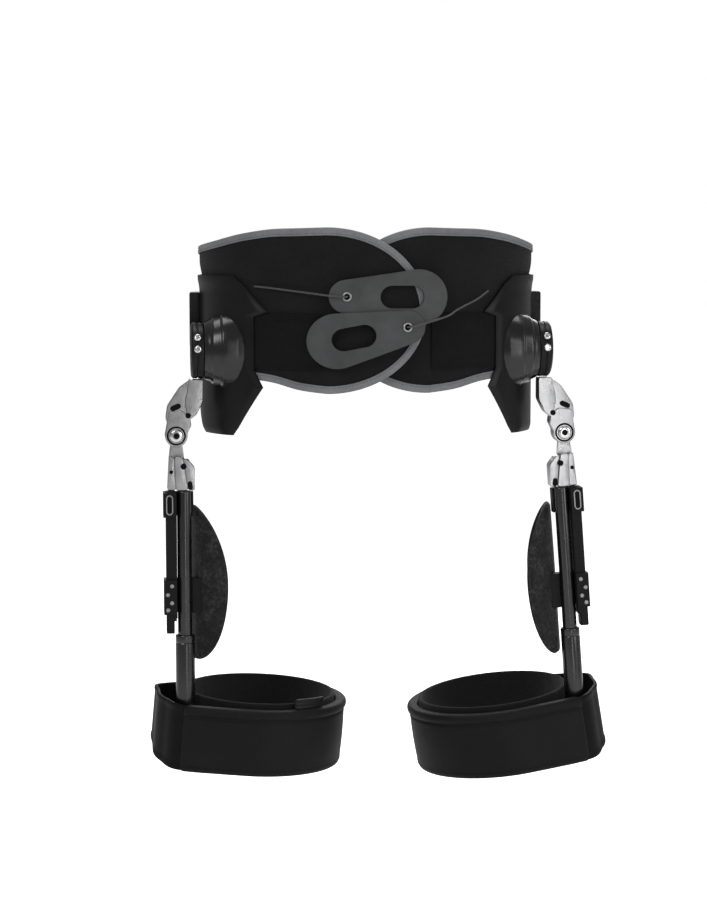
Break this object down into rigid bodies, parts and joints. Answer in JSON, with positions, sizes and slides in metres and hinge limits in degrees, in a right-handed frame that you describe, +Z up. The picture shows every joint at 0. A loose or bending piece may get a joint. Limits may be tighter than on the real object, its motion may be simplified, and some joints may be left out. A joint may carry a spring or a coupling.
{
  "type": "hip orthosis",
  "caption": "Bilateral hip orthosis: padded lapped belt with moulded hip plates, hinged uprights with thigh pads and padded thigh cuffs.",
  "frame": {"origin": "middle of the waist hollow, 5 mm below the level of the hip hinges, where the wearer's waist holds the belt", "axes": "+Z up, -Y the wearer's front, +X the wearer's left"},
  "size_m": [0.4578, 0.2586, 0.5443],
  "materials": {
    "belt_cloth": "black padded knit over foam",
    "edge_trim": "mid-grey edge binding tape",
    "strap_web": "very dark loop-faced strap",
    "tab_plastic": "mid-grey satin moulded tab",
    "small_steel": "bright screw heads, pins and eyelets",
    "pull_cord": "thin braided dark cord",
    "moulded_black": "semi-gloss black moulding",
    "link_steel": "bright machined links",
    "black_tube": "gloss black tube",
    "black_bar": "satin black flat bar",
    "pad_mesh": "mottled spacer mesh over foam",
    "cuff_shell": "matt black shell",
    "cuff_cloth": "smooth black cover over foam",
    "liner_cloth": "black brushed liner"
  },
  "bodies": {
    "root": {"belt_back": "belt_cloth", "belt_panel_right": "belt_cloth", "belt_panel_left": "belt_cloth", "binding_right": "edge_trim", "binding_left": "edge_trim", "front_strap_right": "strap_web", "front_strap_left": "strap_web", "pull_tab_upper": "tab_plastic", "pull_tab_lower": "tab_plastic", "eyelet_upper": "small_steel", "eyelet_lower": "small_steel", "pull_cord_right": "pull_cord", "pull_cord_left": "pull_cord", "hip_plate_right": "moulded_black", "hip_plate_left": "moulded_black", "keeper_right": "moulded_black", "keeper_left": "moulded_black"},
    "swing_right": {"hinge_disc_right": "moulded_black", "stop_screw_upper_right": "small_steel", "stop_screw_lower_right": "small_steel", "upper_link_right": "link_steel", "abduction_pin_right": "small_steel"},
    "swing_left": {"hinge_disc_left": "moulded_black", "stop_screw_upper_left": "small_steel", "stop_screw_lower_left": "small_steel", "upper_link_left": "link_steel", "abduction_pin_left": "small_steel"},
    "thigh_right": {"lower_link_right": "link_steel", "rod_right": "black_tube", "outer_bar_right": "black_bar", "bar_latch_right": "link_steel", "pad_clamp_right": "link_steel", "thigh_pad_right": "pad_mesh"},
    "thigh_left": {"lower_link_left": "link_steel", "rod_left": "black_tube", "outer_bar_left": "black_bar", "bar_latch_left": "link_steel", "pad_clamp_left": "link_steel", "thigh_pad_left": "pad_mesh"},
    "cuff_right": {"tube_right": "black_tube", "cuff_shell_right": "cuff_shell", "cuff_band_right": "cuff_cloth", "cuff_liner_right": "liner_cloth", "cuff_tab_right": "strap_web"},
    "cuff_left": {"tube_left": "black_tube", "cuff_shell_left": "cuff_shell", "cuff_band_left": "cuff_cloth", "cuff_liner_left": "liner_cloth"}
  },
  "joints": [
    {"name": "flexion_right", "type": "hinge", "parent": "root", "child": "swing_right", "pos_m": [-0.169, -0.048, 0.005], "axis": [-1, 0, 0], "range_deg": [-10, 90]},
    {"name": "flexion_left", "type": "hinge", "parent": "root", "child": "swing_left", "pos_m": [0.169, -0.048, 0.005], "axis": [-1, 0, 0], "range_deg": [-10, 90]},
    {"name": "abduction_right", "type": "hinge", "parent": "swing_right", "child": "thigh_right", "pos_m": [-0.19, -0.048, -0.077], "axis": [0, 1, 0], "range_deg": [-3, 25]},
    {"name": "abduction_left", "type": "hinge", "parent": "swing_left", "child": "thigh_left", "pos_m": [0.19, -0.048, -0.077], "axis": [0, -1, 0], "range_deg": [-7.3, 20.7]},
    {"name": "length_right", "type": "slide", "parent": "thigh_right", "child": "cuff_right", "axis": [0, 0, -1], "range_m": [-0.012, 0.04]},
    {"name": "length_left", "type": "slide", "parent": "thigh_left", "child": "cuff_left", "axis": [0.075, 0, -0.9972], "range_m": [-0.012, 0.04]}
  ]
}
